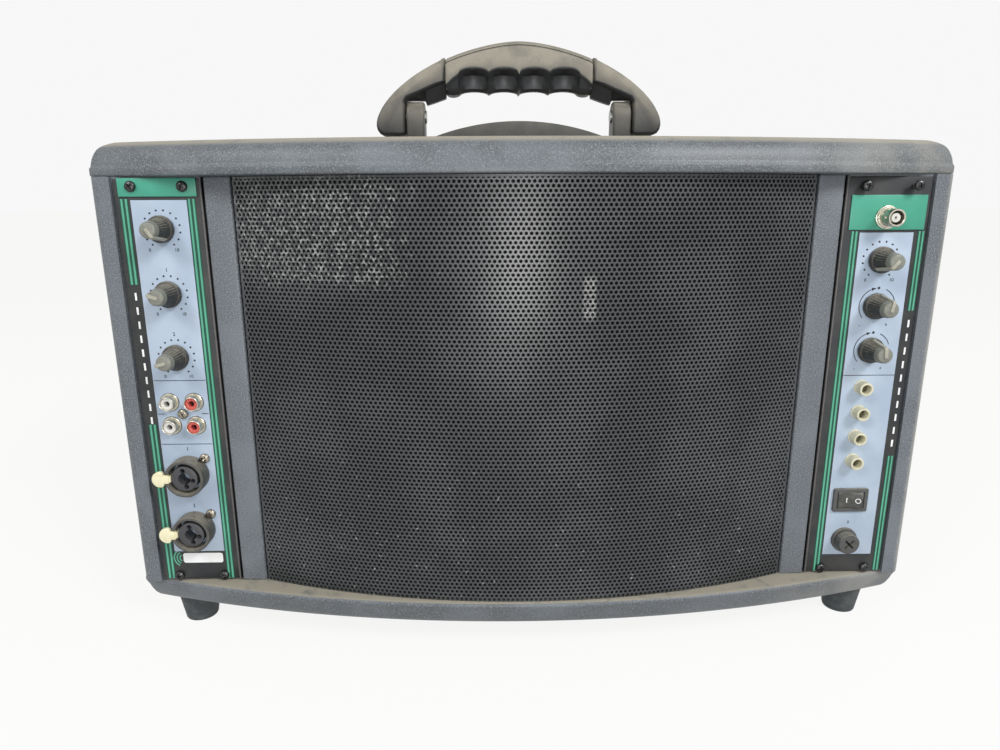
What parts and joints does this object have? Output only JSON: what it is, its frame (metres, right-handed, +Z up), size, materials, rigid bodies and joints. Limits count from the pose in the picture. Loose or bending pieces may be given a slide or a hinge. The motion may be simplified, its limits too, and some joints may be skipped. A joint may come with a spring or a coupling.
{
  "type": "portable pa speaker",
  "caption": "Portable PA speaker cabinet with a bowed perforated grille, two vertical control panels, a folding top handle and rubber feet.",
  "frame": {"origin": "on the floor, under the middle of the cabinet's box", "axes": "+X to the right seen from the front, +Y to the back, +Z up"},
  "size_m": [0.473, 0.27, 0.3616],
  "materials": {
    "moulding": "speckled moulded plastic, dusty on its upper faces",
    "cabinet_paint": "hammer textured blue-grey paint",
    "back_paint": "satin black paint",
    "grille_paint": "black paint on perforated steel",
    "foam": "open acoustic foam",
    "board": "plywood",
    "driver_steel": "black pressed steel",
    "magnet": "ferrite and steel",
    "cone_paper": "black pulp",
    "panel_black": "satin black",
    "label_blue": "satin printed foil",
    "header_green": "satin printed foil",
    "screw_steel": "plated steel",
    "pot_steel": "pressed steel",
    "circuit": "green circuit board",
    "black_plastic": "moulded black plastic",
    "nickel": "nickel plate",
    "rca_colours": "white and red plastic",
    "collar_grey": "glass filled plastic",
    "insert_grey": "glass filled plastic",
    "tab_cream": "cream plastic",
    "lamp_cream": "cream plastic",
    "lamp": "tinted resin",
    "fuse_glass": "glass",
    "case_steel": "tinned steel",
    "heat_sink": "anodised",
    "battery_case": "battery plastic",
    "rubber": "worn grey rubber",
    "handle_plastic": "grained black plastic, dusty",
    "knob_black": "ribbed dark plastic",
    "tip_grey": "grey-cream plastic"
  },
  "bodies": {
    "cabinet": {"bottom_base": "moulding", "cabinet_shell": "cabinet_paint", "top_cap": "moulding", "rear_panel": "back_paint", "posts": "cabinet_paint", "baffle_board": "board", "grille": "grille_paint", "grille_foam": "foam", "woofer_frame": "driver_steel", "woofer_magnet": "magnet", "tweeter": "driver_steel", "left_panel": "panel_black", "right_panel": "panel_black", "left_label": "label_blue", "right_label": "label_blue", "left_header": "header_green", "right_header": "header_green", "panel_screws": "screw_steel", "potentiometers": "pot_steel", "control_boards": "circuit", "rca_block": "black_plastic", "rca_shells": "nickel", "rca_inserts": "rca_colours", "combo_jack_collars": "collar_grey", "combo_jack_inserts": "insert_grey", "bnc_socket": "nickel", "led_holders": "lamp_cream", "leds": "lamp", "rocker_housing": "black_plastic", "fuse_holder": "black_plastic", "fuse": "fuse_glass", "receiver_module": "case_steel", "amplifier_module": "heat_sink", "battery": "battery_case", "mains_inlet": "black_plastic", "rear_screws": "screw_steel", "feet": "rubber", "foot_screws": "screw_steel", "handle_base": "handle_plastic", "handle_pins": "screw_steel"},
    "handle": {"handle_arms": "handle_plastic", "grip_front": "handle_plastic", "grip_rear": "handle_plastic"},
    "aux_dial": {"aux_knob": "knob_black", "aux_tip": "tip_grey"},
    "mic_1_dial": {"mic_1_knob": "knob_black", "mic_1_tip": "tip_grey"},
    "mic_2_dial": {"mic_2_knob": "knob_black", "mic_2_tip": "tip_grey"},
    "wireless_dial": {"wireless_knob": "knob_black", "wireless_tip": "tip_grey"},
    "bass_dial": {"bass_knob": "knob_black", "bass_tip": "tip_grey"},
    "treble_dial": {"treble_knob": "knob_black", "treble_tip": "tip_grey"},
    "tab_1": {"jack_tab_1": "tab_cream"},
    "tab_2": {"jack_tab_2": "tab_cream"},
    "power_rocker": {"rocker": "black_plastic"},
    "fuse_carrier": {"fuse_cap": "black_plastic"},
    "cone": {"woofer_cone": "cone_paper"}
  },
  "joints": [
    {"name": "handle_fold", "type": "hinge", "parent": "cabinet", "child": "handle", "pos_m": [0, 0, 0.316], "axis": [1, 0, 0], "range_deg": [-90, 90]},
    {"name": "aux_turn", "type": "hinge", "parent": "cabinet", "child": "aux_dial", "pos_m": [-0.1977, -0.1042, 0.2475], "axis": [0, 1, 0], "range_deg": [-298, 2]},
    {"name": "mic_1_turn", "type": "hinge", "parent": "cabinet", "child": "mic_1_dial", "pos_m": [-0.1977, -0.1042, 0.2122], "axis": [0, 1, 0], "range_deg": [-78, 222]},
    {"name": "mic_2_turn", "type": "hinge", "parent": "cabinet", "child": "mic_2_dial", "pos_m": [-0.1977, -0.1042, 0.1764], "axis": [0, 1, 0], "range_deg": [-44, 256]},
    {"name": "wireless_turn", "type": "hinge", "parent": "cabinet", "child": "wireless_dial", "pos_m": [0.1977, -0.1042, 0.229], "axis": [0, 1, 0], "range_deg": [-10, 290]},
    {"name": "bass_turn", "type": "hinge", "parent": "cabinet", "child": "bass_dial", "pos_m": [0.1977, -0.1042, 0.2032], "axis": [0, 1, 0], "range_deg": [-160, 140]},
    {"name": "treble_turn", "type": "hinge", "parent": "cabinet", "child": "treble_dial", "pos_m": [0.1977, -0.1042, 0.1778], "axis": [0, 1, 0], "range_deg": [-145, 155]},
    {"name": "tab_1_press", "type": "slide", "parent": "cabinet", "child": "tab_1", "axis": [0, 1, 0], "range_m": [0, 0.0015], "stiffness_N_per_m": 300},
    {"name": "tab_2_press", "type": "slide", "parent": "cabinet", "child": "tab_2", "axis": [0, 1, 0], "range_m": [0, 0.0015], "stiffness_N_per_m": 300},
    {"name": "rocker_tip", "type": "hinge", "parent": "cabinet", "child": "power_rocker", "pos_m": [0.1969, -0.1022, 0.0853], "axis": [0, 0, 1], "range_deg": [0, 16]},
    {"name": "fuse_cap_turn", "type": "hinge", "parent": "cabinet", "child": "fuse_carrier", "pos_m": [0.1962, -0.1042, 0.059], "axis": [0, -1, 0], "range_deg": [0, 45]},
    {"name": "cone_travel", "type": "slide", "parent": "cabinet", "child": "cone", "axis": [0, 1, 0], "range_m": [-0.003, 0.003], "stiffness_N_per_m": 2500}
  ]
}
